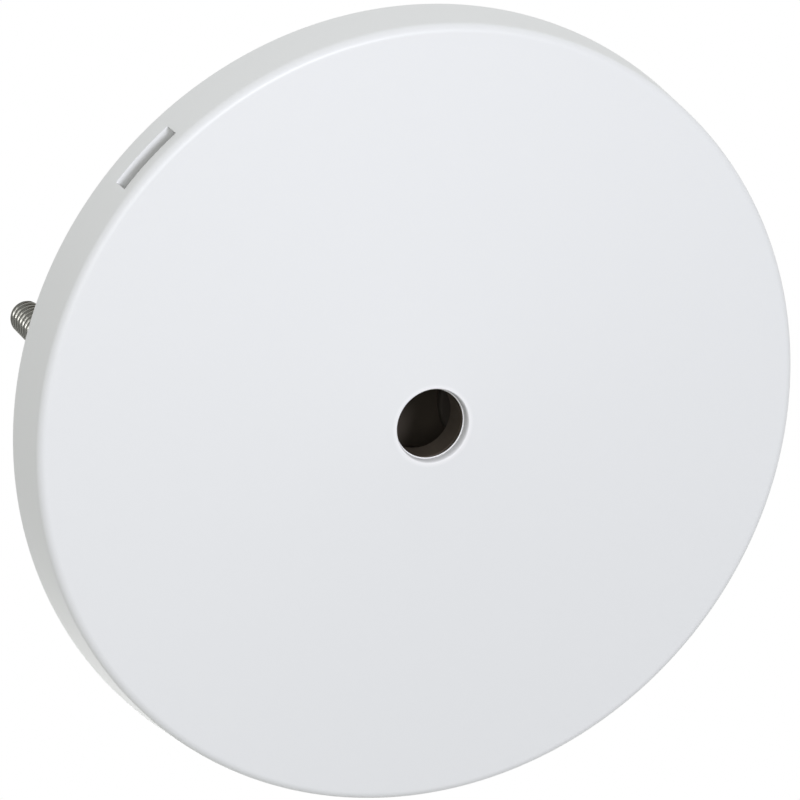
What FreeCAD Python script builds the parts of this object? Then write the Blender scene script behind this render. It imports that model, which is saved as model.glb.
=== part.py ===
import FreeCAD, Part
import math
import os
from types import SimpleNamespace

import Sketcher

# Electrical ceiling rose: a round push-on cover over a moulded tray with a terminal cup.
# The ceiling is the plane z = 0 and +Z points up into it, so the cover's face looks along -Z.
# The X axis runs through the two fixing screws. Lengths are millimetres, angles are degrees.

SIZES = [
    # Cover
    ("cover_radius", 57.5),
    ("head_room", 1.85),
    ("cover_wall", 1.8),
    ("face_thickness", 2.0),
    ("rim_taper", 1.4),
    ("edge_radius", 1.9),
    ("cord_hole_radius", 5.15),
    ("hole_edge_radius", 0.55),
    ("ceiling_gap", 0.2),
    ("pry_slot_length", 10.2),
    ("pry_slot_height", 2.8),
    ("pry_slot_setback", 3.3),
    ("pry_slot_angle", 213.8),
    ("stop_rib_thickness", 1.2),
    ("stop_rib_reach", 4.0),
    ("stop_rib_height", 1.5),
    ("seat_gap", 0.1),
    ("rib_angle", 15.0),
    # Base: tray, spring tongues and stiffening ribs
    ("tray_clearance", 0.4),
    ("tray_wall", 1.2),
    ("tray_lead", 0.4),
    ("flange_thickness", 1.8),
    ("flange_rib_thickness", 1.2),
    ("flange_rib_height", 2.5),
    ("tongue_angle", 60.0),
    ("tongue_arc", 22.0),
    ("tongue_slit", 1.2),
    ("bump_height", 0.25),
    ("bump_inset", 0.5),
    ("bump_arc", 3.0),
    # Base: terminal cup, cord collar and the bridge that carries it
    ("cup_depth", 10.0),
    ("cup_floor", 2.0),
    ("cup_wall", 2.0),
    ("cup_margin", 3.5),
    ("cup_corner_chamfer", 1.6),
    ("bridge_width", 15.0),
    ("collar_gap", 0.25),
    ("collar_land", 4.0),
    ("collar_wall", 2.0),
    ("funnel_flare", 3.35),
    # Fixing screws with their steel washers and fibre retaining washers
    ("fixing_radius", 2.5),
    ("fixing_neck_radius", 2.0),
    ("fixing_length", 30.85),
    ("fixing_head_radius", 4.25),
    ("fixing_head_height", 3.3),
    ("fixing_tip", 0.3),
    ("fixing_drive_width", 1.2),
    ("fixing_drive_depth", 1.6),
    ("fixing_clearance", 0.3),
    ("fixing_adjustment", 2.5),
    ("washer_radius", 4.5),
    ("washer_thickness", 1.0),
    ("washer_clearance", 0.2),
    ("washer_margin", 0.2),
    ("washer_play", 0.05),
    ("retainer_radius", 4.8),
    ("retainer_thickness", 0.8),
    ("retainer_play", 0.1),
    # Brass pillar terminals, their nests and their screws
    ("terminal_length", 15.0),
    ("terminal_width", 6.0),
    ("terminal_height", 8.0),
    ("terminal_chamfer", 0.4),
    ("terminal_gap", 3.0),
    ("nest_clearance", 0.2),
    ("nest_wall", 1.6),
    ("nest_height", 5.0),
    ("nest_stop_height", 0.8),
    ("nest_stop_thickness", 1.2),
    ("wire_bore_radius", 1.8),
    ("wire_bore_height", 2.8),
    ("terminal_screw_spacing", 9.0),
    ("terminal_screw_radius", 1.4),
    ("terminal_screw_travel", 2.7),
    ("terminal_screw_seat", 0.1),
    ("terminal_head_radius", 2.5),
    ("terminal_head_height", 2.0),
    ("terminal_drive_width", 0.8),
    ("terminal_drive_depth", 1.0),
    ("thread_clearance", 0.1),
    ("tip_gap", 0.2),
    # Cord clamp
    ("clamp_gap", 3.0),
    ("clamp_spread", 8.2),
    ("clamp_boss_radius", 3.2),
    ("clamp_boss_height", 6.0),
    ("clamp_bar_width", 7.0),
    ("clamp_bar_thickness", 3.0),
    ("clamp_bar_end", 3.5),
    ("clamp_saddle_radius", 4.0),
    ("clamp_saddle_depth", 1.2),
    ("clamp_screw_radius", 1.45),
    ("clamp_screw_grip", 5.0),
    ("clamp_head_radius", 2.75),
    ("clamp_head_height", 2.0),
    ("clamp_drive_width", 0.8),
    ("clamp_drive_depth", 1.0),
    ("clamp_tip_gap", 0.5),
    # Rubber grommet at the cable entry
    ("entry_distance", 17.0),
    ("grommet_bore", 4.0),
    ("grommet_wall", 2.4),
    ("grommet_overhang", 1.6),
    ("grommet_lip", 1.2),
    ("grommet_clearance", 0.1),
]
STOP_RIBS = 12
FLANGE_RIBS = 12
TONGUES = 4
SIDES = {"left": -1, "right": 1}
TERMINALS = {"earth": (-1, 1), "neutral": (-1, 0), "loop": (1, 0), "live": (1, 1)}
WIRE_ENDS = {"cord": -1, "supply": 1}
CLAMP_SIDES = {"earth": -1, "live": 1}


class Size:
    """A length or angle that keeps its expression over the sheet beside its present value."""

    def __init__(self, text, value):
        self.text = text
        self.value = value

    def __add__(self, other):
        other = as_size(other)
        return Size(f"({self.text} + {other.text})", self.value + other.value)

    def __sub__(self, other):
        other = as_size(other)
        return Size(f"({self.text} - {other.text})", self.value - other.value)

    def __mul__(self, other):
        other = as_size(other)
        return Size(f"({self.text} * {other.text})", self.value * other.value)

    def __truediv__(self, other):
        other = as_size(other)
        return Size(f"({self.text} / {other.text})", self.value / other.value)

    def __neg__(self):
        return Size(f"(-{self.text})", -self.value)

    __radd__ = __add__
    __rmul__ = __mul__


def as_size(quantity):
    """A plain number becomes a Size whose expression is the number itself."""
    if isinstance(quantity, Size):
        return quantity
    return Size(repr(float(quantity)), float(quantity))


def diagonal(first, second):
    """The hypotenuse of two sizes."""
    return Size(f"hypot({first.text}; {second.text})", math.hypot(first.value, second.value))


def largest(*sizes):
    """The largest of several sizes."""
    return Size("max(" + "; ".join(size.text for size in sizes) + ")", max(size.value for size in sizes))


def bind(target, name, size):
    """Tie one property of an object to a size."""
    target.setExpression(name, as_size(size).text)


# Driving sheet
doc = FreeCAD.newDocument("CeilingRose")
sheet = doc.addObject("Spreadsheet::Sheet", "Sizes")
for row, (alias, value) in enumerate(SIZES, start=1):
    sheet.set(f"A{row}", alias)
    sheet.set(f"B{row}", str(value))
    sheet.setAlias(f"B{row}", alias)
doc.recompute()
s = SimpleNamespace(**{alias: Size(f"Sizes.{alias}", float(sheet.get(alias))) for alias, _ in SIZES})

# Levels along Z: the cover is just deep enough for the fixing screws' heads
flange_front = -s.flange_thickness
washer_front = flange_front - s.washer_thickness
fixing_seat = washer_front - s.washer_play
cover_inside = fixing_seat - s.fixing_head_height - s.head_room
face_level = cover_inside - s.face_thickness
cover_back = -s.ceiling_gap
cover_depth = cover_back - face_level
rib_back = cover_inside + s.stop_rib_height
tray_edge = rib_back + s.seat_gap
cup_top = s.cup_depth + s.cup_floor

# Radii about the rose's axis
taper = s.rim_taper / cover_depth
tray_radius = s.cover_radius - s.cover_wall - taper * (cover_back - tray_edge) - s.tray_clearance
tray_inner = tray_radius - s.tray_wall
recess_radius = s.retainer_radius + s.washer_clearance
fixing_room = largest(s.washer_radius, s.fixing_head_radius, recess_radius - s.tray_wall / 2)
fixing_centre = tray_inner - s.washer_margin - fixing_room
collar_outside = s.cord_hole_radius + s.collar_wall
funnel_radius = s.cord_hole_radius + s.funnel_flare
flare_radius = funnel_radius + s.collar_wall
terminal_offset = flare_radius + s.terminal_gap
terminal_pitch = s.terminal_width + 2 * s.nest_clearance + s.nest_wall
nest_reach = s.terminal_length / 2 + s.nest_clearance + s.nest_stop_thickness
nest_side = terminal_offset + 1.5 * terminal_pitch + s.nest_wall / 2
cup_radius = diagonal(nest_reach, nest_side) + s.cup_margin
cup_outside = cup_radius + s.cup_wall
clamp_distance = flare_radius + s.clamp_gap + s.clamp_bar_width / 2
grommet_neck = s.grommet_bore + s.grommet_wall

# Levels inside the cup and the collar
collar_front = cover_inside + s.collar_gap
collar_throat = collar_front + s.collar_land
terminal_front = s.cup_depth - s.terminal_height
wire_axis = s.cup_depth - s.wire_bore_height
terminal_tip = wire_axis - s.wire_bore_radius - s.tip_gap
terminal_seat = terminal_front - s.terminal_screw_seat - s.terminal_screw_travel
clamp_seat = s.cup_depth - s.clamp_boss_height
clamp_front = clamp_seat - s.clamp_bar_thickness


def new_body(name, x=0.0, y=0.0, z=0.0):
    """A sub-part whose own origin stands at this place."""
    body = doc.addObject("PartDesign::Body", name)
    body.Label = name
    for axis, size in (("x", x), ("y", y), ("z", z)):
        bind(body, f"Placement.Base.{axis}", size)
    return body


def new_sketch(body, role, name, height=0.0, turn=None):
    """A sketch on an origin plane, raised along the plane's normal or turned about Z."""
    sketch = body.newObject("Sketcher::SketchObject", name)
    plane = next(item for item in body.Origin.OriginFeatures if item.Role == role)
    sketch.AttachmentSupport = [(plane, "")]
    sketch.MapMode = "FlatFace"
    if turn is not None:
        up = FreeCAD.Vector(0, 1, 0)
        sketch.AttachmentOffset = FreeCAD.Placement(FreeCAD.Vector(), FreeCAD.Rotation(up, turn.value))
        bind(sketch, "AttachmentOffset.Rotation.Angle", turn)
    bind(sketch, "AttachmentOffset.Base.z", height)
    return sketch


def hold_point(sketch, geometry, point, x, y):
    """Hold one point of the sketch at its two distances from the sketch's origin."""
    for kind, axis, distance in (("DistanceX", -2, as_size(x)), ("DistanceY", -1, as_size(y))):
        if distance.value == 0:
            sketch.addConstraint(Sketcher.Constraint("PointOnObject", geometry, point, axis))
            continue
        ends = (-1, 1, geometry, point) if distance.value > 0 else (geometry, point, -1, 1)
        length = distance if distance.value > 0 else -distance
        index = sketch.addConstraint(Sketcher.Constraint(kind, *ends, length.value))
        bind(sketch, f"Constraints[{index}]", length)


def draw_outline(sketch, corners):
    """A closed outline of straight lines through these corners."""
    points = [FreeCAD.Vector(as_size(x).value, as_size(y).value, 0) for x, y in corners]
    first = sketch.GeometryCount
    count = len(points)
    for number in range(count):
        sketch.addGeometry(Part.LineSegment(points[number], points[(number + 1) % count]), False)
    for number in range(count):
        following = first + (number + 1) % count
        sketch.addConstraint(Sketcher.Constraint("Coincident", first + number, 2, following, 1))
    for number, (x, y) in enumerate(corners):
        hold_point(sketch, first + number, 1, x, y)


def draw_box(sketch, left, right, bottom, top):
    """A rectangle between two pairs of limits."""
    draw_outline(sketch, [(left, bottom), (right, bottom), (right, top), (left, top)])


def draw_circle(sketch, x, y, radius):
    """A circle held by its centre and radius."""
    centre = FreeCAD.Vector(as_size(x).value, as_size(y).value, 0)
    circle = sketch.addGeometry(Part.Circle(centre, FreeCAD.Vector(0, 0, 1), radius.value), False)
    hold_point(sketch, circle, 3, x, y)
    index = sketch.addConstraint(Sketcher.Constraint("Radius", circle, radius.value))
    bind(sketch, f"Constraints[{index}]", radius)


def draw_long_hole(sketch, x, reach, radius):
    """A round-ended slot along Y about a centre on the X axis, made of two arcs and two lines."""
    up = FreeCAD.Vector(0, 0, 1)
    centres = [FreeCAD.Vector(x.value, side * reach.value, 0) for side in (1, -1)]
    upper, lower = [Part.Circle(centre, up, radius.value) for centre in centres]
    first = sketch.addGeometry(Part.ArcOfCircle(upper, 0, math.pi), False)
    second = sketch.addGeometry(Part.ArcOfCircle(lower, math.pi, 2 * math.pi), False)
    left, right = x.value - radius.value, x.value + radius.value
    lines = []
    for edge, way in ((left, -1), (right, 1)):
        start = FreeCAD.Vector(edge, -way * reach.value, 0)
        end = FreeCAD.Vector(edge, way * reach.value, 0)
        lines.append(sketch.addGeometry(Part.LineSegment(start, end), False))
    corners = [(first, 2, lines[0], 1), (lines[0], 2, second, 1), (second, 2, lines[1], 1),
               (lines[1], 2, first, 1)]
    for corner in corners:
        sketch.addConstraint(Sketcher.Constraint("Tangent", *corner))
    sketch.addConstraint(Sketcher.Constraint("Equal", first, second))
    hold_point(sketch, first, 3, x, reach)
    hold_point(sketch, second, 3, x, -reach)
    index = sketch.addConstraint(Sketcher.Constraint("Radius", first, radius.value))
    bind(sketch, f"Constraints[{index}]", radius)


def extrude(body, kind, sketch, name, length, reverse=False, middle=False):
    """A pad or pocket of a sketch; a pocket has to take material away."""
    feature = body.newObject(f"PartDesign::{kind}", name)
    feature.Profile = sketch
    feature.Reversed = reverse
    feature.Midplane = middle
    bind(feature, "Length", length)
    return checked(feature)


def spin(body, kind, sketch, name, angle=None):
    """A revolution or groove about Z, a full turn or an arc centred on the sketch."""
    feature = body.newObject(f"PartDesign::{kind}", name)
    feature.Profile = sketch
    feature.ReferenceAxis = (sketch, ["V_Axis"])
    feature.Angle = 360
    if angle is not None:
        feature.Midplane = True
        bind(feature, "Angle", angle)
    return checked(feature)


def repeat(body, features, name, count):
    """Copies of features evenly round Z."""
    pattern = body.newObject("PartDesign::PolarPattern", name)
    pattern.Originals = features
    axis = next(item for item in body.Origin.OriginFeatures if item.Role == "Z_Axis")
    pattern.Axis = (axis, [""])
    pattern.Angle = 360
    pattern.Occurrences = count
    body.Tip = pattern
    doc.recompute()
    return pattern


def checked(feature):
    """Recompute, and see that a feature on a base really adds or removes material."""
    doc.recompute()
    base = feature.BaseFeature
    if base is not None and math.isclose(base.Shape.Volume, feature.Shape.Volume, rel_tol=1e-9):
        raise ValueError(f"{feature.Name} leaves its base unchanged")
    return feature


def ring_edges(feature, radius, level):
    """Names of the circular edges about Z with this radius at this level."""
    names = []
    for number, edge in enumerate(feature.Shape.Edges, start=1):
        if not isinstance(edge.Curve, Part.Circle):
            continue
        centre = edge.Curve.Center
        offset = math.hypot(centre.x, centre.y) + abs(centre.z - level.value)
        if offset + abs(edge.Curve.Radius - radius.value) < 1e-3:
            names.append(f"Edge{number}")
    return names


def round_edges(body, feature, name, edges, radius):
    """A fillet on named edges."""
    fillet = body.newObject("PartDesign::Fillet", name)
    fillet.Base = (feature, edges)
    bind(fillet, "Radius", radius)
    return checked(fillet)


def make_cover():
    """The white push-on cover: a shallow dished shell with a cord hole and a pry slot."""
    body = new_body("cover")
    front_radius = s.cover_radius - s.rim_taper
    inner_back = s.cover_radius - s.cover_wall
    inner_front = inner_back - taper * (cover_depth - s.face_thickness)
    profile = new_sketch(body, "XZ_Plane", "cover_profile")
    draw_outline(profile, [
        (s.cord_hole_radius, face_level),
        (front_radius, face_level),
        (s.cover_radius, cover_back),
        (inner_back, cover_back),
        (inner_front, cover_inside),
        (s.cord_hole_radius, cover_inside),
    ])
    spin(body, "Revolution", profile, "cover_shell")

    # Ribs inside the rim stop the cover on the tray's edge
    rib = new_sketch(body, "XZ_Plane", "stop_rib_profile", turn=s.rib_angle)
    rib_outer = inner_front + s.cover_wall / 2
    rib_front = cover_inside - s.face_thickness / 2
    draw_box(rib, inner_front - s.stop_rib_reach, rib_outer, rib_front, rib_back)
    rib_pad = extrude(body, "Pad", rib, "stop_rib", s.stop_rib_thickness, middle=True)
    repeat(body, [rib_pad], "stop_ribs", STOP_RIBS)

    # The window for a screwdriver blade, square to the rim
    window = new_sketch(body, "XZ_Plane", "pry_slot_profile", turn=s.pry_slot_angle - 90.0)
    front = face_level + s.pry_slot_setback
    draw_box(window, -s.pry_slot_length / 2, s.pry_slot_length / 2, front, front + s.pry_slot_height)
    slot = extrude(body, "Pocket", window, "pry_slot", s.cover_radius + s.cover_wall)

    edge = round_edges(body, slot, "front_edge", ring_edges(slot, front_radius, face_level), s.edge_radius)
    hole = ring_edges(edge, s.cord_hole_radius, face_level)
    round_edges(body, edge, "hole_edge", hole, s.hole_edge_radius)
    return body


def make_base():
    """The black moulded base: tray, terminal cup, cord collar, nests, bosses and spring tongues."""
    body = new_body("base")
    profile = new_sketch(body, "XZ_Plane", "base_profile")
    draw_outline(profile, [
        (0, s.cup_depth),
        (cup_radius, s.cup_depth),
        (cup_radius, flange_front),
        (tray_inner, flange_front),
        (tray_inner, tray_edge),
        (tray_radius - s.tray_lead, tray_edge),
        (tray_radius, tray_edge + s.tray_lead),
        (tray_radius, 0),
        (cup_outside, 0),
        (cup_outside, cup_top - s.cup_corner_chamfer),
        (cup_outside - s.cup_corner_chamfer, cup_top),
        (0, cup_top),
    ])
    spin(body, "Revolution", profile, "tray_and_cup")

    # Radial ribs stiffen the flange between the cup and the tray's wall
    rib = new_sketch(body, "XZ_Plane", "flange_rib_profile", turn=s.rib_angle)
    rib_front = flange_front - s.flange_rib_height
    draw_box(rib, cup_outside, tray_inner + s.tray_wall / 2, rib_front, flange_front / 2)
    rib_pad = extrude(body, "Pad", rib, "flange_rib", s.flange_rib_thickness, middle=True)
    repeat(body, [rib_pad], "flange_ribs", FLANGE_RIBS)

    # Spring tongues: a root slot and an end slit free a strip of the wall, and a bump grips the cover
    root = new_sketch(body, "XZ_Plane", "tongue_root_profile", turn=s.tongue_angle)
    wall_in, wall_out = tray_inner - s.tray_wall / 2, tray_radius + s.tray_wall / 2
    draw_box(root, wall_in, wall_out, flange_front - s.tongue_slit, flange_front)
    root_cut = spin(body, "Groove", root, "tongue_root", s.tongue_arc)
    end_turn = s.tongue_angle + s.tongue_arc / 2
    slit = new_sketch(body, "XZ_Plane", "tongue_end_profile", turn=end_turn)
    draw_box(slit, wall_in, wall_out, tray_edge - s.tongue_slit, flange_front)
    slit_cut = extrude(body, "Pocket", slit, "tongue_end", s.tongue_slit, middle=True)
    bump_turn = end_turn - s.bump_arc / 2 - s.tongue_slit / tray_radius * (180 / math.pi)
    bump = new_sketch(body, "XZ_Plane", "tongue_bump_profile", turn=bump_turn)
    bump_front = tray_edge + s.bump_inset
    bump_back = flange_front - s.tongue_slit - s.bump_inset
    draw_outline(bump, [
        (tray_radius - s.tray_wall / 2, bump_front),
        (tray_radius, bump_front),
        (tray_radius + s.bump_height, (bump_front + bump_back) / 2),
        (tray_radius, bump_back),
        (tray_radius - s.tray_wall / 2, bump_back),
    ])
    bump_ridge = spin(body, "Revolution", bump, "tongue_bump", s.bump_arc)
    repeat(body, [root_cut, slit_cut, bump_ridge], "tongues", TONGUES)

    # The bridge reaches from one side of the cup's mouth and ends in the bell-mouthed cord collar
    bridge = new_sketch(body, "XY_Plane", "bridge_outline")
    draw_box(bridge, 0, cup_outside, -s.bridge_width / 2, s.bridge_width / 2)
    extrude(body, "Pad", bridge, "bridge", s.flange_thickness, reverse=True)
    collar = new_sketch(body, "XZ_Plane", "collar_profile")
    draw_outline(collar, [
        (0, collar_front),
        (collar_outside, collar_front),
        (collar_outside, collar_throat),
        (flare_radius, 0),
        (0, 0),
    ])
    spin(body, "Revolution", collar, "collar")
    passage = new_sketch(body, "XZ_Plane", "passage_profile")
    draw_outline(passage, [
        (0, collar_front),
        (s.cord_hole_radius, collar_front),
        (s.cord_hole_radius, collar_throat),
        (funnel_radius, 0),
        (0, 0),
    ])
    spin(body, "Groove", passage, "cord_passage")

    # Nest walls between the terminals and low stops at their ends
    walls = new_sketch(body, "XY_Plane", "nest_walls_outline", height=s.cup_depth)
    stops = new_sketch(body, "XY_Plane", "nest_stops_outline", height=s.cup_depth)
    for side in (-1, 1):
        for step in range(3):
            middle = terminal_offset + (step - 0.5) * terminal_pitch
            limits = sorted((side * (middle - s.nest_wall / 2), side * (middle + s.nest_wall / 2)),
                            key=lambda limit: limit.value)
            draw_box(walls, -s.terminal_length / 2, s.terminal_length / 2, *limits)
        for step in range(2):
            middle = side * (terminal_offset + step * terminal_pitch)
            for end in (-1, 1):
                near = end * (nest_reach - s.nest_stop_thickness)
                limits = sorted((near, end * nest_reach), key=lambda limit: limit.value)
                draw_box(stops, *limits, middle - s.terminal_width / 2, middle + s.terminal_width / 2)
    extrude(body, "Pad", walls, "nest_walls", s.nest_height, reverse=True)
    extrude(body, "Pad", stops, "nest_stops", s.nest_stop_height, reverse=True)

    # Bosses for the cord clamp's screws
    bosses = new_sketch(body, "XY_Plane", "clamp_bosses_outline", height=s.cup_depth)
    pilots = new_sketch(body, "XY_Plane", "clamp_pilots_outline", height=clamp_seat)
    pilot_radius = s.clamp_screw_radius + s.thread_clearance
    for side in CLAMP_SIDES.values():
        draw_circle(bosses, -clamp_distance, side * s.clamp_spread, s.clamp_boss_radius)
        draw_circle(pilots, -clamp_distance, side * s.clamp_spread, pilot_radius)
    extrude(body, "Pad", bosses, "clamp_bosses", s.clamp_boss_height, reverse=True)
    extrude(body, "Pocket", pilots, "clamp_pilots", s.clamp_screw_grip + s.clamp_tip_gap, reverse=True)

    # The cable entry in the cup's floor
    entry = new_sketch(body, "XY_Plane", "cable_entry_outline", height=cup_top)
    draw_circle(entry, s.entry_distance, 0, grommet_neck + s.grommet_clearance)
    extrude(body, "Pocket", entry, "cable_entry", s.cup_floor)

    # Slots for the fixing screws, with a recess behind each for its retaining washer
    slots = new_sketch(body, "XY_Plane", "fixing_slots_outline")
    recesses = new_sketch(body, "XY_Plane", "retainer_recesses_outline")
    slot_radius = s.fixing_radius + s.fixing_clearance
    for side in SIDES.values():
        draw_long_hole(slots, side * fixing_centre, s.fixing_adjustment / 2, slot_radius)
        draw_circle(recesses, side * fixing_centre, 0, recess_radius)
    extrude(body, "Pocket", slots, "fixing_slots", s.flange_thickness)
    extrude(body, "Pocket", recesses, "retainer_recesses", s.retainer_thickness + 2 * s.retainer_play)
    return body


def make_screw(name, place, head, drive, shank):
    """A slotted cheese-head screw along +Z from its origin under the head; shank is an outline."""
    body = new_body(name, *place)
    head_radius, head_height = head
    drive_width, drive_depth = drive
    profile = new_sketch(body, "XZ_Plane", f"{name}_profile")
    axis_ends = [(0, shank[-1][1]), (0, -head_height)]
    draw_outline(profile, [(head_radius, -head_height), (head_radius, 0), *shank, *axis_ends])
    spin(body, "Revolution", profile, f"{name}_turned")
    drive = new_sketch(body, "XY_Plane", f"{name}_drive_outline", height=-head_height)
    draw_box(drive, -drive_width / 2, drive_width / 2, -head_radius, head_radius)
    extrude(body, "Pocket", drive, f"{name}_drive", drive_depth, reverse=True)
    return body


def make_ring(name, place, outer, bore, thickness):
    """A flat washer standing on its own origin."""
    body = new_body(name, *place)
    outline = new_sketch(body, "XY_Plane", f"{name}_outline")
    draw_circle(outline, 0, 0, outer)
    draw_circle(outline, 0, 0, bore)
    extrude(body, "Pad", outline, f"{name}_disc", thickness)
    return body


def make_terminal(name, place):
    """A brass pillar: a chamfered block with a wire bore along X and two threaded holes along Z."""
    body = new_body(name, *place)
    outline = new_sketch(body, "XY_Plane", f"{name}_outline")
    half_length, half_width = s.terminal_length / 2, s.terminal_width / 2
    draw_box(outline, -half_length, half_length, -half_width, half_width)
    block = extrude(body, "Pad", outline, f"{name}_block", s.terminal_height, reverse=True)
    edges = [f"Edge{number}" for number, edge in enumerate(block.Shape.Edges, start=1)
             if abs(edge.CenterOfMass.z + s.terminal_height.value) < 1e-3]
    chamfer = body.newObject("PartDesign::Chamfer", f"{name}_chamfer")
    chamfer.Base = (block, edges)
    bind(chamfer, "Size", s.terminal_chamfer)
    checked(chamfer)
    bore = new_sketch(body, "YZ_Plane", f"{name}_bore_outline")
    draw_circle(bore, 0, -s.wire_bore_height, s.wire_bore_radius)
    extrude(body, "Pocket", bore, f"{name}_bore", s.terminal_length, middle=True)
    holes = new_sketch(body, "XY_Plane", f"{name}_holes_outline", height=-s.terminal_height)
    hole_radius = s.terminal_screw_radius + s.thread_clearance
    for end in WIRE_ENDS.values():
        draw_circle(holes, end * s.terminal_screw_spacing / 2, 0, hole_radius)
    depth = s.terminal_height - s.wire_bore_height
    extrude(body, "Pocket", holes, f"{name}_holes", depth, reverse=True)
    return body


def make_grommet():
    """A rubber grommet: two lips grip the cup's floor and the bore takes the fixed cable."""
    body = new_body("cable_grommet", s.entry_distance, 0, s.cup_depth)
    lip_radius = grommet_neck + s.grommet_overhang
    profile = new_sketch(body, "XZ_Plane", "grommet_profile")
    draw_outline(profile, [
        (s.grommet_bore, -s.grommet_lip),
        (lip_radius, -s.grommet_lip),
        (lip_radius, 0),
        (grommet_neck, 0),
        (grommet_neck, s.cup_floor),
        (lip_radius, s.cup_floor),
        (lip_radius, s.cup_floor + s.grommet_lip),
        (s.grommet_bore, s.cup_floor + s.grommet_lip),
    ])
    spin(body, "Revolution", profile, "grommet_moulded")
    return body


def make_clamp_bar():
    """The cord clamp's bar: two clear holes, and a round saddle across it that bears on the cord."""
    body = new_body("cord_clamp_bar", -clamp_distance, 0, clamp_seat)
    half_width, half_length = s.clamp_bar_width / 2, s.clamp_spread + s.clamp_bar_end
    outline = new_sketch(body, "XY_Plane", "clamp_bar_outline")
    draw_box(outline, -half_width, half_width, -half_length, half_length)
    for side in CLAMP_SIDES.values():
        draw_circle(outline, 0, side * s.clamp_spread, s.clamp_screw_radius + s.fixing_clearance)
    extrude(body, "Pad", outline, "clamp_bar", s.clamp_bar_thickness, reverse=True)
    saddle = new_sketch(body, "YZ_Plane", "clamp_saddle_outline")
    draw_circle(saddle, 0, s.clamp_saddle_radius - s.clamp_saddle_depth, s.clamp_saddle_radius)
    extrude(body, "Pocket", saddle, "clamp_saddle", s.clamp_bar_width, middle=True)
    return body


def make_all():
    """Every piece of the rose in the order it is put together."""
    pieces = [make_base(), make_grommet()]
    head = (s.terminal_head_radius, s.terminal_head_height)
    drive = (s.terminal_drive_width, s.terminal_drive_depth)
    shank = [(s.terminal_screw_radius, 0), (s.terminal_screw_radius, terminal_tip - terminal_seat)]
    for name, (side, step) in TERMINALS.items():
        y = side * (terminal_offset + step * terminal_pitch)
        pieces.append(make_terminal(f"terminal_{name}", (0, y, s.cup_depth)))
        for end, way in WIRE_ENDS.items():
            place = (way * s.terminal_screw_spacing / 2, y, terminal_seat)
            pieces.append(make_screw(f"terminal_{name}_{end}_screw", place, head, drive, shank))

    pieces.append(make_clamp_bar())
    head = (s.clamp_head_radius, s.clamp_head_height)
    drive = (s.clamp_drive_width, s.clamp_drive_depth)
    shank = [(s.clamp_screw_radius, 0), (s.clamp_screw_radius, s.clamp_bar_thickness + s.clamp_screw_grip)]
    for name, side in CLAMP_SIDES.items():
        place = (-clamp_distance, side * s.clamp_spread, clamp_front)
        pieces.append(make_screw(f"clamp_screw_{name}_side", place, head, drive, shank))

    # A fixing screw's thread starts at the ceiling; the fibre washer grips the neck below it
    head = (s.fixing_head_radius, s.fixing_head_height)
    drive = (s.fixing_drive_width, s.fixing_drive_depth)
    neck_length = -fixing_seat
    shank = [
        (s.fixing_neck_radius, 0),
        (s.fixing_neck_radius, neck_length),
        (s.fixing_radius, neck_length),
        (s.fixing_radius, s.fixing_length - s.fixing_tip),
        (s.fixing_radius - s.fixing_tip, s.fixing_length),
    ]
    washer = (s.washer_radius, s.fixing_radius + s.washer_clearance, s.washer_thickness)
    retainer = (s.retainer_radius, s.fixing_neck_radius + s.washer_play, s.retainer_thickness)
    retainer_front = -(s.retainer_thickness + s.retainer_play)
    for name, side in SIDES.items():
        x = side * fixing_centre
        pieces.append(make_ring(f"fixing_washer_{name}", (x, 0, washer_front), *washer))
        pieces.append(make_screw(f"fixing_screw_{name}", (x, 0, fixing_seat), head, drive, shank))
        pieces.append(make_ring(f"retaining_washer_{name}", (x, 0, retainer_front), *retainer))
    pieces.append(make_cover())
    return pieces


pieces = make_all()
doc.recompute()
for item in doc.Objects:
    if "Invalid" in item.State or "Error" in item.State:
        raise RuntimeError(f"{item.Name} failed: {item.State}")
for piece in pieces:
    if piece.Shape.isNull() or not piece.Shape.isValid() or len(piece.Shape.Solids) != 1:
        raise RuntimeError(f"{piece.Label} is not one valid solid")

os.makedirs("parts", exist_ok=True)
for piece in pieces:
    piece.Shape.exportStep(f"parts/{piece.Label}.step")
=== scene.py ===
import math

import bmesh
import bpy
import numpy as np
from mathutils import Matrix


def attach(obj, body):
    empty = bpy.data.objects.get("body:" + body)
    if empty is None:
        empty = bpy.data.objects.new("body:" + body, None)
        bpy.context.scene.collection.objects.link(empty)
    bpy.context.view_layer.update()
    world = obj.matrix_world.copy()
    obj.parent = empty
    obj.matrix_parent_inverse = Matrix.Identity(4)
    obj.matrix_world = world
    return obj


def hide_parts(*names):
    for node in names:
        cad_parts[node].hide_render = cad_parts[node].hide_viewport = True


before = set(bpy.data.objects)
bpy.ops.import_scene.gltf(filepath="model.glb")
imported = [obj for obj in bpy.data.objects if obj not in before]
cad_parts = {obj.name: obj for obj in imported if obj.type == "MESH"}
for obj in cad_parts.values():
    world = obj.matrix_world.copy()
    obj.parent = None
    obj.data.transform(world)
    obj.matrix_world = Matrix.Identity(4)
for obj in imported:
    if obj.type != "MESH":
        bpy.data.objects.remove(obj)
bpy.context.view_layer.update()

# Base: one black moulding with the tray, the terminal cup and the collar that the cord leaves by.
# Compression moulded from a phenolic powder, so its skin is satin with a faint drift in the colour.
# The ceiling is the plane z = 0, and two screws through the flange hold the base to it.

MM = 0.001


def linear(code):
    """sRGB hex to linear: c / 12.92 up to 0.04045, and ((c + 0.055) / 1.055) ** 2.4 above."""
    channels = np.array([int(code[start:start + 2], 16) for start in (1, 3, 5)]) / 255
    curved = np.where(channels <= 0.04045, channels / 12.92, ((channels + 0.055) / 1.055) ** 2.4)
    return (*curved.tolist(), 1.0)


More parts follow.
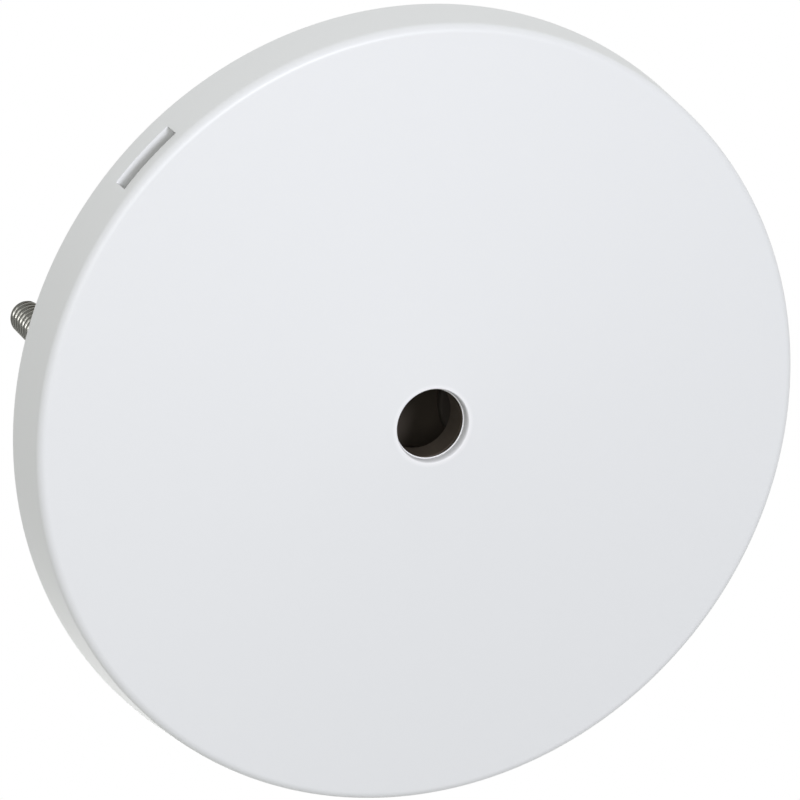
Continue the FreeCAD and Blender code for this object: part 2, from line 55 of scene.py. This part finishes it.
def add_node(tree, kind, inputs=None, **settings):
    """A node with its settings; each input takes a plain value, or a link from another socket."""
    node = tree.nodes.new(kind)
    for name, value in settings.items():
        setattr(node, name, value)
    for name, value in (inputs or {}).items():
        if isinstance(value, bpy.types.NodeSocket):
            tree.links.new(value, node.inputs[name])
        else:
            node.inputs[name].default_value = value
    return node


def new_finish(name, **sockets):
    """A material with one Principled surface; also its tree, that surface and Object coordinates."""
    finish = bpy.data.materials.new(name)
    finish.use_nodes = True
    tree = finish.node_tree
    tree.nodes.clear()
    values = {key.replace("_", " "): value for key, value in sockets.items()}
    surface = add_node(tree, "ShaderNodeBsdfPrincipled", values)
    add_node(tree, "ShaderNodeOutputMaterial", {"Surface": surface.outputs["BSDF"]})
    place = add_node(tree, "ShaderNodeTexCoord").outputs["Object"]
    return finish, tree, surface, place


# Phenolic moulding: near-black with a brown cast, satin; a 4 mm drift of tone and 0.5 mm flow specks
drift_size, speck_size, speck_height = 4.0 * MM, 0.5 * MM, 0.02 * MM
phenolic, tree, surface, place = new_finish("phenolic_moulding", IOR=1.6, Roughness=0.42)
drift = add_node(tree, "ShaderNodeTexNoise", {"Vector": place, "Scale": 1 / drift_size, "Detail": 3.0})
tones = add_node(tree, "ShaderNodeMix", {
    "Factor": drift.outputs["Fac"], "A": linear("#544c43"), "B": linear("#635a4f")}, data_type="RGBA")
tree.links.new(tones.outputs["Result"], surface.inputs["Base Color"])
specks = add_node(tree, "ShaderNodeTexNoise", {"Vector": place, "Scale": 1 / speck_size, "Detail": 2.0})
relief = add_node(tree, "ShaderNodeBump", {
    "Height": specks.outputs["Fac"], "Strength": 0.25, "Distance": speck_height})
tree.links.new(relief.outputs["Normal"], surface.inputs["Normal"])
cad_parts["base"].material_slots[0].material = phenolic

# Cable grommet: a soft rubber ring snapped into the cup's floor where the fixed cable comes in.
# Moulded in black rubber, with rounded lips that grip the floor on both sides.


def rounded_outline(corners, steps=6, hold=0.1):
    """Closed outline through corners (x, y, radius) in millimetres.

    A corner with a radius becomes an arc tangent to both sides: its tangent points lie
    radius * tan(turn / 2) from the corner. A holding point follows on each side, so that a flat
    side shades flat.
    """
    places = np.array([corner[:2] for corner in corners], float)
    before = places - np.roll(places, 1, axis=0)
    before /= np.linalg.norm(before, axis=1)[:, None]
    after = np.roll(before, -1, axis=0)
    cross = before[:, 0] * after[:, 1] - before[:, 1] * after[:, 0]
    turns = np.arctan2(cross, (before * after).sum(axis=1))
    runs = []
    for corner, (_, _, radius), come, go, turn in zip(places, corners, before, after, turns):
        if radius == 0:
            runs.append(corner[None])
            continue
        tangent = radius * math.tan(abs(turn) / 2)
        signed = math.copysign(radius, turn)
        sweep = np.linspace(0, turn, steps + 1)[:, None]
        side = signed * np.array([-come[1], come[0]])
        start = corner - tangent * come
        arc = start + side - side * np.cos(sweep) + signed * np.sin(sweep) * come
        runs.append(np.vstack([start - hold * come, arc, corner + (tangent + hold) * go]))
    return np.vstack(runs)


def grid_faces(rows, columns, closed_rows=True):
    """Quads of a grid of points, closed along its columns, and along its rows too if asked."""
    row = np.arange(rows if closed_rows else rows - 1)[:, None]
    column = np.arange(columns)[None]
    next_row = (row + 1) % rows
    next_column = (column + 1) % columns
    corners = [(row, column), (row, next_column), (next_row, next_column), (next_row, column)]
    return np.stack([down * columns + along for down, along in corners], axis=-1).reshape(-1, 4)


def turned(outline, columns, centre):
    """An outline of (radius, height) carried round an upright axis: x = r cos t, y = r sin t."""
    angle = np.linspace(0, 2 * math.pi, columns, endpoint=False)
    radius = outline[:, 0, None]
    height = np.broadcast_to(outline[:, 1, None], (len(outline), columns))
    x = centre[0] + radius * np.cos(angle)
    y = centre[1] + radius * np.sin(angle)
    points = np.stack([x, y, height], axis=-1)
    return points.reshape(-1, 3), grid_faces(len(outline), columns).tolist()


# Points within a tenth of a micrometre are one point, and edges turning over 35 degrees stay crisp
merge_distance, crisp_angle = 1e-4 * MM, math.radians(35)


def new_piece(name, shells, finish, body, replaced):
    """One object from closed shells of (points in millimetres, faces), turned outwards."""
    points, faces, start = [], [], 0
    for shell_points, shell_faces in shells:
        points.append(shell_points)
        faces += [[start + index for index in face] for face in shell_faces]
        start += len(shell_points)
    mesh = bpy.data.meshes.new(name)
    mesh.from_pydata((np.vstack(points) * MM).tolist(), [], faces)
    work = bmesh.new()
    work.from_mesh(mesh)
    bmesh.ops.remove_doubles(work, verts=work.verts, dist=merge_distance)
    bmesh.ops.recalc_face_normals(work, faces=work.faces)
    work.to_mesh(mesh)
    work.free()
    mesh.shade_smooth()
    mesh.set_sharp_from_angle(angle=crisp_angle)
    mesh.materials.append(finish)
    piece = bpy.data.objects.new(name, mesh)
    bpy.context.collection.objects.link(piece)
    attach(piece, body)
    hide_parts(*replaced)


# Moulded rubber: dull black with a soft sheen; a 0.3 mm bloom breaks up the highlight
bloom_size, bloom_height = 0.3 * MM, 0.02 * MM
rubber, tree, surface, place = new_finish(
    "moulded_rubber", Base_Color=linear("#5a544c"), IOR=1.52, Roughness=0.75)
bloom = add_node(tree, "ShaderNodeTexNoise", {"Vector": place, "Scale": 1 / bloom_size, "Detail": 3.0})
relief = add_node(tree, "ShaderNodeBump", {
    "Height": bloom.outputs["Fac"], "Strength": 0.3, "Distance": bloom_height})
tree.links.new(relief.outputs["Normal"], surface.inputs["Normal"])

entry_distance, cup_floor, cup_top = 17.0, 10.0, 12.0
grommet_bore, grommet_neck, grommet_lip, lip_thickness = 4.0, 6.4, 8.0, 1.2
mouth_rounding, lip_rounding, seat_rounding = 0.35, 0.45, 0.15
grommet_front, grommet_back = cup_floor - lip_thickness, cup_top + lip_thickness
grommet_outline = rounded_outline([
    (grommet_bore, grommet_front, mouth_rounding), (grommet_lip, grommet_front, lip_rounding),
    (grommet_lip, cup_floor, seat_rounding), (grommet_neck, cup_floor, 0),
    (grommet_neck, cup_top, 0), (grommet_lip, cup_top, seat_rounding),
    (grommet_lip, grommet_back, lip_rounding), (grommet_bore, grommet_back, mouth_rounding)])
grommet_shell = turned(grommet_outline, columns=96, centre=(entry_distance, 0.0))
new_piece("cable_grommet_rubber", [grommet_shell], rubber, "base", ["cable_grommet"])

# Terminals: four brass pillars that drop into nests in the cup, each with a wire bore and two screws.
# Sawn from extruded bar and milled, so fine lines run along them. The screws are zinc plated.

# Milled brass: warm yellow metal; cutter lines 0.15 mm apart along X blur the reflections across them
line_spacing, line_height, squeeze_along = 0.15 * MM, 0.01 * MM, 0.08
brass, tree, surface, place = new_finish("milled_brass", Metallic=1.0, Roughness=0.32)
drawn_out = add_node(tree, "ShaderNodeMapping", {"Vector": place, "Scale": (squeeze_along, 1.0, 1.0)})
lines = add_node(tree, "ShaderNodeTexNoise", {
    "Vector": drawn_out.outputs["Vector"], "Scale": 1 / line_spacing, "Detail": 2.0})
tones = add_node(tree, "ShaderNodeMix", {
    "Factor": lines.outputs["Fac"], "A": linear("#b98f45"), "B": linear("#d8b468")}, data_type="RGBA")
tree.links.new(tones.outputs["Result"], surface.inputs["Base Color"])
relief = add_node(tree, "ShaderNodeBump", {
    "Height": lines.outputs["Fac"], "Strength": 0.3, "Distance": line_height})
tree.links.new(relief.outputs["Normal"], surface.inputs["Normal"])

# Zinc plate on steel: cool grey metal, slightly mottled at 1 mm, with a satin highlight
mottle_size = 1.0 * MM
zinc, tree, surface, place = new_finish("zinc_plated_steel", Metallic=1.0, Roughness=0.34)
mottle = add_node(tree, "ShaderNodeTexNoise", {"Vector": place, "Scale": 1 / mottle_size, "Detail": 3.0})
tones = add_node(tree, "ShaderNodeMix", {
    "Factor": mottle.outputs["Fac"], "A": linear("#8a8c90"), "B": linear("#b4b6ba")}, data_type="RGBA")
tree.links.new(tones.outputs["Result"], surface.inputs["Base Color"])


def slotted_head(seat, radius, height, slot_width, slot_depth, crown):
    """A cheese head as closed loops across x, its flat underside on the seat and its top towards -Z.

    At one x the loop climbs to the top, whose level falls with the rounded rim and drops in the
    slot, with half width y = sqrt(R(h)^2 - x^2) at height h, where R(h) is the radius less the
    rim's rounding.
    """
    side_loops, climb_points = 20, 9
    floor = height - slot_depth
    half = slot_width / 2
    outer = radius * np.sin(np.linspace(math.asin(half / radius), math.pi / 2, side_loops))
    x = np.concatenate([-outer[::-1], [-half, half], outer])
    slotted = np.zeros(len(x), bool)
    slotted[len(outer):len(outer) + 2] = True
    rim = np.clip((np.abs(x) - radius + crown) / crown, 0, 1)
    top = np.where(slotted, floor, height - crown + crown * np.sqrt(1 - rim ** 2))
    rise = np.sin(np.linspace(0, math.pi / 2, climb_points))[1:]
    foot = np.broadcast_to([[0.0, floor]], (len(x), 2))
    level = np.concatenate([foot, floor + (top[:, None] - floor) * rise], axis=1)
    drop = np.clip((level - height + crown) / crown, 0, 1)
    reach = radius - crown + crown * np.sqrt(1 - drop ** 2)
    width = np.sqrt(np.clip(reach ** 2 - x[:, None] ** 2, 0, None))
    width[[0, -1]] = 0
    loop_y = np.concatenate([width, -width[:, ::-1]], axis=1)
    loop_z = np.concatenate([-level, -level[:, ::-1]], axis=1)
    loop_x = np.broadcast_to(x[:, None], loop_y.shape)
    points = np.stack([loop_x, loop_y, loop_z], axis=-1) + np.asarray(seat)
    return points.reshape(-1, 3), grid_faces(*loop_y.shape, closed_rows=False).tolist()


def threaded_shank(seat, outline, begin, pitch, depth, columns):
    """A shank along +Z: radius r(t, z) is the smaller of its outline (z, r) and of the thread.

    The thread is crest - depth * (1 - cos(2 pi z / pitch - t)) / 2, from the level where it begins.
    """
    rows_per_turn = 24
    levels, radii = np.array(outline, float).T
    crest = radii.max()
    rows = round((levels[-1] - begin) / pitch * rows_per_turn)
    height = np.unique(np.concatenate([levels, np.linspace(begin, levels[-1], rows)]))[:, None]
    angle = np.linspace(0, 2 * math.pi, columns, endpoint=False)[None]
    phase = 2 * math.pi * height / pitch - angle
    groove = np.where(height > begin, depth * (1 - np.cos(phase)) / 2, 0)
    radius = np.minimum(np.interp(height, levels, radii), crest - groove)
    upright = np.broadcast_to(height, radius.shape)
    points = np.stack([radius * np.cos(angle), radius * np.sin(angle), upright], axis=-1)
    faces = grid_faces(*radius.shape, closed_rows=False).tolist()
    last = radius.size - columns
    faces += [list(range(columns)), list(range(last, last + columns))]
    return points.reshape(-1, 3) + np.asarray(seat), faces


# A shank starts a little way inside its head, and its point has a small chamfer
head_sink, point_chamfer = 0.3, 0.35


def pointed_shank(radius, length):
    """Outline (level, radius) of a straight shank with a chamfered point."""
    return [(-head_sink, radius), (length - point_chamfer, radius), (length, radius - point_chamfer)]


terminal_rows = {"earth": -21.5, "neutral": -13.5, "loop": 13.5, "live": 21.5}
wire_ends = {"cord": -4.5, "supply": 4.5}
terminal_seat = -0.8
terminal_shank = pointed_shank(radius=1.4, length=6.0)
terminal_head = {"radius": 2.5, "height": 2.0, "slot_width": 0.8, "slot_depth": 1.0, "crown": 0.4}
fine_thread = {"begin": 0.3, "pitch": 0.5, "depth": 0.28, "columns": 40}
for name, y in terminal_rows.items():
    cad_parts[f"terminal_{name}"].material_slots[0].material = brass
    for end, x in wire_ends.items():
        seat = (x, y, terminal_seat)
        screw = f"terminal_{name}_{end}_screw"
        shells = [slotted_head(seat, **terminal_head), threaded_shank(seat, terminal_shank, **fine_thread)]
        new_piece(f"{screw}_zinc", shells, zinc, screw, [screw])

# Cord clamp: a black moulded bar over the cord's end, drawn down on two bosses by zinc plated screws.
# The saddle under the bar takes the pull of the cord off the terminals.

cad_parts["cord_clamp_bar"].material_slots[0].material = phenolic
clamp_x, clamp_spread, clamp_front = -17.0, 8.2, 1.0
clamp_shank = pointed_shank(radius=1.45, length=8.0)
clamp_head = {**terminal_head, "radius": 2.75}
for name, side in {"earth": -1, "live": 1}.items():
    seat = (clamp_x, side * clamp_spread, clamp_front)
    screw = f"clamp_screw_{name}_side"
    shells = [slotted_head(seat, **clamp_head), threaded_shank(seat, clamp_shank, **fine_thread)]
    new_piece(f"{screw}_zinc", shells, zinc, "cord_clamp", [screw])

# Fixing screws: two 5 mm steel screws with a coarse rolled thread, driven from below into the ceiling box.
# A steel washer sits under each head, and a red fibre washer on the plain neck keeps the screw captive.

# Dull zinc: grey plating over a rolled thread, dark in the grooves, with a flash along the flanks
thread_mottle_size = 0.8 * MM
dull_zinc, tree, surface, place = new_finish("dull_zinc_plate", Metallic=1.0, Roughness=0.2)
mottle = add_node(tree, "ShaderNodeTexNoise", {
    "Vector": place, "Scale": 1 / thread_mottle_size, "Detail": 3.0})
tones = add_node(tree, "ShaderNodeMix", {
    "Factor": mottle.outputs["Fac"], "A": linear("#979690"), "B": linear("#adaca6")}, data_type="RGBA")
tree.links.new(tones.outputs["Result"], surface.inputs["Base Color"])

# Vulcanised fibre: red-brown pressed paper, dull, with 0.4 mm fibres in its tone
strand_size = 0.4 * MM
fibre, tree, surface, place = new_finish("vulcanised_fibre", IOR=1.5, Roughness=0.7)
strands = add_node(tree, "ShaderNodeTexNoise", {"Vector": place, "Scale": 1 / strand_size, "Detail": 4.0})
tones = add_node(tree, "ShaderNodeMix", {
    "Factor": strands.outputs["Fac"], "A": linear("#6e2f22"), "B": linear("#8f4632")}, data_type="RGBA")
tree.links.new(tones.outputs["Result"], surface.inputs["Base Color"])


def washer(centre, bore, radius, front, back, bore_rounding, edge_rounding):
    """A flat ring: its rectangular section, with rounded corners, turned round the screw's axis."""
    outline = rounded_outline([
        (bore, front, bore_rounding), (radius, front, edge_rounding),
        (radius, back, edge_rounding), (bore, back, bore_rounding)], hold=0.05)
    return turned(outline, columns=72, centre=centre)


fixing_centre = 48.514286
fixing_seat, fixing_length, fixing_radius, neck_radius = -2.85, 30.85, 2.5, 2.0
thread_begin, tip_chamfer = -fixing_seat, 0.3
fixing_shank = [
    (-head_sink, neck_radius), (thread_begin, neck_radius),
    (thread_begin + fixing_radius - neck_radius, fixing_radius),
    (fixing_length - tip_chamfer, fixing_radius), (fixing_length, fixing_radius - tip_chamfer)]
fixing_head = {"radius": 4.25, "height": 3.3, "slot_width": 1.2, "slot_depth": 1.6, "crown": 0.66}
coarse_thread = {"begin": thread_begin, "pitch": 1.295, "depth": 0.85, "columns": 128}
steel_washer = {"bore": 2.7, "radius": 4.5, "front": -2.8, "back": -1.8,
                "bore_rounding": 0.08, "edge_rounding": 0.15}
fibre_washer = {"bore": 2.05, "radius": 4.8, "front": -0.9, "back": -0.1,
                "bore_rounding": 0.05, "edge_rounding": 0.1}
for name, side in {"left": -1, "right": 1}.items():
    centre = (side * fixing_centre, 0.0)
    seat = (*centre, fixing_seat)
    screw = f"fixing_screw_{name}"
    new_piece(f"fixing_washer_{name}_steel", [washer(centre, **steel_washer)], zinc,
              "base", [f"fixing_washer_{name}"])
    shells = [slotted_head(seat, **fixing_head), threaded_shank(seat, fixing_shank, **coarse_thread)]
    new_piece(f"{screw}_zinc", shells, dull_zinc, screw, [screw])
    new_piece(f"retaining_washer_{name}_fibre", [washer(centre, **fibre_washer)], fibre,
              screw, [f"retaining_washer_{name}"])

# Cover: the white moulded dish that pushes over the tray, with the cord hole in its faintly crowned face.
# Injection moulded in ABS against a finely spark-eroded steel, which leaves it matte all over.
# One window in the rim takes a screwdriver blade, and ribs inside the rim stop it on the tray.

cover_radius, cover_back, face_level, inside_level = 57.5, -0.2, -10.0, -8.0
edge_circle, edge_level, edge_radius = 56.27, -9.15, 1.25
outer_slope = (cover_radius - edge_circle) / (cover_back - edge_level)
inner_taper, cover_wall = 1.4, 1.8
inner_slope = inner_taper / (cover_back - face_level)
inner_back = cover_radius - cover_wall
inner_front = inner_back - inner_slope * (cover_back - inside_level)
back_rounding, inner_back_rounding, inner_front_rounding = 0.3, 0.15, 0.6

# The cord hole opens in a long rounded lip and ends in a thin ledge, undercut from the inside
hole_radius, lip_width = 5.15, 0.34
ledge_radius, ledge_level, ledge_undercut = 5.0, -8.65, 0.4
ledge_rounding, undercut_rounding = 0.02, 0.1

# The window's mouth in the rim's outside is wider than the window by the rounding of its edge
window_angle, window_half = math.radians(213.8), 5.1
window_front, window_back, window_rounding = -6.7, -3.9, 0.06
window_middle = (window_front + window_back) / 2
window_rise = (window_back - window_front) / 2
wide_half, wide_rise = window_half + window_rounding, window_rise + window_rounding
window_row_count, window_column_count, rim_column_count = 9, 25, 520
window_rows = np.linspace(-1, 1, window_row_count)
window_columns = np.linspace(-1, 1, window_column_count)


def cover_section():
    """The section's closed outline, and the window's first row on the rim's outside and inside.

    It runs from the hole over the face, the front edge and the rim to the back, and returns inside.
    The lip is a quarter ellipse: r = hole + width (1 - cos t), z = face + depth (1 - sin t).
    A rounded corner has steps + 1 points on its arc and two that hold its sides; the lip follows two
    rounded corners and a sharp one.
    """
    steps = 14
    per_corner = steps + 3
    plain = rounded_outline([
        (ledge_radius + ledge_undercut, inside_level, undercut_rounding),
        (ledge_radius, ledge_level, ledge_rounding), (hole_radius, ledge_level, 0),
        (hole_radius, face_level, lip_width), (edge_circle, edge_level, edge_radius),
        (cover_radius, cover_back, back_rounding), (inner_back, cover_back, inner_back_rounding),
        (inner_front, inside_level, inner_front_rounding)], steps=steps)
    lip = 2 * per_corner + 1
    turn = np.linspace(0, math.pi / 2, per_corner)[1:]
    plain[lip:lip + len(turn), 0] = hole_radius + lip_width * (1 - np.cos(turn))
    plain[lip:lip + len(turn), 1] = face_level + (ledge_level - face_level) * (1 - np.sin(turn))
    outside = lip + 2 * per_corner
    inside = outside + 2 * per_corner
    outer_levels = window_middle + wide_rise * window_rows
    inner_levels = window_middle + window_rise * window_rows[::-1]
    outer_radii = cover_radius - outer_slope * (cover_back - outer_levels)
    inner_radii = inner_back - inner_slope * (cover_back - inner_levels)
    outer_rows = np.stack([outer_radii, outer_levels], axis=-1)
    inner_rows = np.stack([inner_radii, inner_levels], axis=-1)
    rows = [plain[:outside], outer_rows, plain[outside:inside], inner_rows, plain[inside:]]
    return np.vstack(rows), outside, inside + len(outer_rows)


def cover_grid(section, outer_start):
    """Points of the turned section: x = r cos t, y = r sin t, z.

    The columns across the window keep one distance from its middle plane on every row, so that its
    sides are straight.
    """
    radius, height = section[:, 0, None], section[:, 1, None]
    row = np.arange(len(section))[:, None]
    half = np.where(row < outer_start + len(window_rows), wide_half, window_half)
    half = np.minimum(half, radius * wide_half / cover_radius)
    across = np.arcsin(half * window_columns[None] / radius)
    clear = math.asin(wide_half / cover_radius)
    rest = np.linspace(clear, 2 * math.pi - clear, rim_column_count)[1:-1]
    angle = window_angle + np.hstack([across, np.broadcast_to(rest, (len(section), len(rest)))])
    upright = np.broadcast_to(height, angle.shape)
    return np.stack([radius * np.cos(angle), radius * np.sin(angle), upright], axis=-1)


def window_sides(grid, faces, outer_start, inner_start):
    """Cuts the window out of both walls and lines it with a rounded edge and straight sides.

    The lining is the outer opening's loop shrunk along a quarter circle, then carried to the inner
    opening's loop.
    """
    columns = grid.shape[1]
    rows, across = len(window_rows), len(window_columns)
    face_row, face_column = np.divmod(np.arange(len(faces)), columns)
    opening = np.zeros(len(faces), bool)
    for start in (outer_start, inner_start):
        opening |= (face_row >= start) & (face_row < start + rows - 1) & (face_column < across - 1)
    ring_row = np.concatenate([
        np.zeros(across - 1, int), np.arange(rows - 1), np.full(across - 1, rows - 1),
        np.arange(rows - 1, 0, -1)])
    ring_column = np.concatenate([
        np.arange(across - 1), np.full(rows - 1, across - 1), np.arange(across - 1, 0, -1),
        np.zeros(rows - 1, int)])
    outer = (outer_start + ring_row) * columns + ring_column
    inner = (inner_start + rows - 1 - ring_row) * columns + ring_column
    points = grid.reshape(-1, 3)
    axis = np.array([math.cos(window_angle), math.sin(window_angle), 0.0])
    along = np.array([-axis[1], axis[0], 0.0])
    upward = np.array([0.0, 0.0, 1.0])
    mouth = points[outer]
    offset = np.stack([mouth @ along, mouth[:, 2] - window_middle], axis=-1)
    steps = 4
    turn = np.linspace(0, math.pi / 2, steps + 1)[1:, None, None]
    shrink = np.array([window_half / wide_half, window_rise / wide_rise])
    moved = offset * (1 - (1 - shrink) * np.sin(turn)) - offset
    sunk = window_rounding * (1 - np.cos(turn))
    lining = mouth + moved[..., :1] * along + moved[..., 1:] * upward - sunk * axis
    count = len(ring_row)
    lining_index = len(points) + np.arange(steps * count).reshape(steps, count)
    loops = np.vstack([outer[None], lining_index, inner[None]])
    nearer, farther = loops[:-1], loops[1:]
    sides = np.stack([nearer, np.roll(nearer, -1, axis=1), np.roll(farther, -1, axis=1), farther], axis=-1)
    all_points = np.vstack([points, lining.reshape(-1, 3)])
    return all_points, np.vstack([faces[~opening], sides.reshape(-1, 4)]).tolist()


section, outer_start, inner_start = cover_section()
grid = cover_grid(section, outer_start)
cover_shell = window_sides(grid, grid_faces(*grid.shape[:2]), outer_start, inner_start)

# Each rib starts inside the face and the wall, and its rounded foot rests on the tray
rib_count, rib_root_half, rib_foot_half = 12, 0.65, 0.55
rib_foot_level, rib_foot_rounding = -6.5, 0.2
rib_length, rib_face_bite, rib_wall_bite = 4.0, 0.3, 0.4


def stop_rib(angle):
    """A tapered section with a rounded foot, carried along the radius from the wall inwards."""
    root_level = inside_level - rib_face_bite
    foot = rounded_outline([
        (-rib_root_half, root_level, 0), (rib_root_half, root_level, 0),
        (rib_foot_half, rib_foot_level, rib_foot_rounding),
        (-rib_foot_half, rib_foot_level, rib_foot_rounding)], steps=4, hold=0.04)
    reach = np.array([inner_front - rib_length, inner_front + rib_wall_bite])[:, None]
    x = reach * math.cos(angle) - foot[:, 0] * math.sin(angle)
    y = reach * math.sin(angle) + foot[:, 0] * math.cos(angle)
    upright = np.broadcast_to(foot[:, 1], x.shape)
    count = len(foot)
    faces = grid_faces(2, count, closed_rows=False).tolist()
    faces += [list(range(count)), list(range(count, 2 * count))]
    return np.stack([x, y, upright], axis=-1).reshape(-1, 3), faces


# Spark-eroded ABS: cool white and matte, with a painted highlight: a paler narrow ring round the hole,
# over its lip and wall.
# Its 0.35 mm grain is drawn a little coarser than the real one, so that it shows.
# Painted highlight: full paler white out to the first radius, fading to the plain white by the second
painted_highlight_from, painted_highlight_to = 5.6 * MM, 6.1 * MM
grain_size, grain_height = 0.35 * MM, 0.015 * MM
abs_white, tree, surface, place = new_finish("spark_eroded_abs", IOR=1.53, Roughness=0.4)
flat = add_node(tree, "ShaderNodeVectorMath", {0: place, 1: (1.0, 1.0, 0.0)}, operation="MULTIPLY")
reach = add_node(tree, "ShaderNodeVectorMath", {0: flat.outputs["Vector"]}, operation="LENGTH")
outward = add_node(tree, "ShaderNodeMapRange", {
    "Value": reach.outputs["Value"], "From Min": painted_highlight_from, "From Max": painted_highlight_to})
# Painted highlight: the paler white near the axis stands in for light on the cord hole's lip and wall
tones = add_node(tree, "ShaderNodeMix", {
    "Factor": outward.outputs["Result"], "A": linear("#f4f4f4"), "B": linear("#eaebeb")}, data_type="RGBA")
tree.links.new(tones.outputs["Result"], surface.inputs["Base Color"])
grain = add_node(tree, "ShaderNodeTexNoise", {"Vector": place, "Scale": 1 / grain_size, "Detail": 2.0})
relief = add_node(tree, "ShaderNodeBump", {
    "Height": grain.outputs["Fac"], "Strength": 0.2, "Distance": grain_height})
tree.links.new(relief.outputs["Normal"], surface.inputs["Normal"])

rib_angles = 2 * math.pi * (np.arange(rib_count) + 0.5) / rib_count
ribs = [stop_rib(angle) for angle in rib_angles]
new_piece("cover_abs", [cover_shell, *ribs], abs_white, "cover", ["cover"])

# Studio: a pale floor well below the rose, a lit white backdrop behind it and a darker room in front.
# Three small lamps stand below the face and one above the rim, and the camera looks up from the left.

floor_level, floor_half = -2.0, 1.0
floor_corners = [(-floor_half, -floor_half, floor_level), (floor_half, -floor_half, floor_level),
                 (floor_half, floor_half, floor_level), (-floor_half, floor_half, floor_level)]
floor_mesh = bpy.data.meshes.new("floor")
floor_mesh.from_pydata(floor_corners, [], [(0, 1, 2, 3)])
floor = bpy.data.objects.new("floor", floor_mesh)
bpy.context.collection.objects.link(floor)
# Floor paint: plain pale grey, dull
floor_paint, *_ = new_finish("pale_floor_paint", Base_Color=linear("#ececec"), Roughness=0.8)
floor_mesh.materials.append(floor_paint)

# The world is grey in front and white behind, with a soft edge between, and a little brighter towards -Y
backdrop_edge, brighter_towards = 0.25, (0.04, -0.12, 0.0)
world = bpy.data.worlds.new("white_studio")
bpy.context.scene.world = world
world.use_nodes = True
tree = world.node_tree
tree.nodes.clear()
aim = add_node(tree, "ShaderNodeTexCoord").outputs["Generated"]
depth = add_node(tree, "ShaderNodeSeparateXYZ", {"Vector": aim}).outputs["Z"]
behind = add_node(tree, "ShaderNodeMapRange", {
    "Value": depth, "From Min": -backdrop_edge, "From Max": backdrop_edge})
studio = add_node(tree, "ShaderNodeMix", {
    "Factor": behind.outputs["Result"], "A": linear("#949594"), "B": linear("#ecedeb")}, data_type="RGBA")
lean = add_node(tree, "ShaderNodeVectorMath", {0: aim, 1: brighter_towards}, operation="DOT_PRODUCT")
gain = add_node(tree, "ShaderNodeMath", {0: lean.outputs["Value"], 1: 1.0}, operation="ADD")
lit = add_node(tree, "ShaderNodeVectorMath", {
    0: studio.outputs["Result"], "Scale": gain.outputs[0]}, operation="SCALE")
# The camera sees the backdrop as plain white
ray = add_node(tree, "ShaderNodeLightPath")
seen = add_node(tree, "ShaderNodeMath", {
    0: ray.outputs["Is Camera Ray"], 1: ray.outputs["Is Transmission Ray"]}, operation="MAXIMUM")
light = add_node(tree, "ShaderNodeMix", {
    "Factor": seen.outputs[0], "A": lit.outputs["Vector"], "B": linear("#ffffff")}, data_type="RGBA")
sky = add_node(tree, "ShaderNodeBackground", {"Color": light.outputs["Result"], "Strength": 1.0})
add_node(tree, "ShaderNodeOutputWorld", {"Surface": sky.outputs["Background"]})


def soft_lamp(name, place, size, watts, tint):
    """A square area lamp at a place in metres, facing the middle of the cover's face."""
    lamp = bpy.data.lights.new(name, "AREA")
    lamp.size = size
    lamp.energy = watts
    lamp.color = linear(tint)[:3]
    holder = bpy.data.objects.new(name, lamp)
    bpy.context.collection.objects.link(holder)
    holder.location = place
    away = np.asarray(place) - np.array([0.0, 0.0, face_level * MM])
    tilt = math.acos(away[2] / np.linalg.norm(away))
    holder.rotation_euler = (tilt, 0.0, math.atan2(away[0], -away[1]))


# The key and fill lamps light the face, the glint lamp the thread's flanks, and the bounce lamp the rim
soft_lamp("key_lamp", place=(0.0105, -0.183, -0.51), size=0.12, watts=1.38, tint="#f4f5ff")
soft_lamp("fill_lamp", place=(-0.226, -0.129, -0.506), size=0.2, watts=0.38, tint="#ffffff")
soft_lamp("glint_lamp", place=(-0.366, -0.046, -0.465), size=0.1, watts=0.2, tint="#ffffff")
soft_lamp("bounce_lamp", place=(0.05, 0.37, 0.5), size=0.3, watts=0.3, tint="#ffffff")

camera = bpy.data.cameras.new("camera")
camera.sensor_width = 36.0
camera.lens = 154.973
viewer = bpy.data.objects.new("camera", camera)
bpy.context.collection.objects.link(viewer)
right = (0.91031, -0.19904, -0.36294)
up = (-0.09276, -0.95259, 0.28976)
back = (-0.40340, -0.23011, -0.88562)
eye = (-197.31 * MM, -112.50 * MM, -430.52 * MM)
viewer.matrix_world = Matrix([*zip(right, up, back, eye), (0.0, 0.0, 0.0, 1.0)])
bpy.context.scene.camera = viewer
bpy.context.scene.view_settings.view_transform = "Standard"
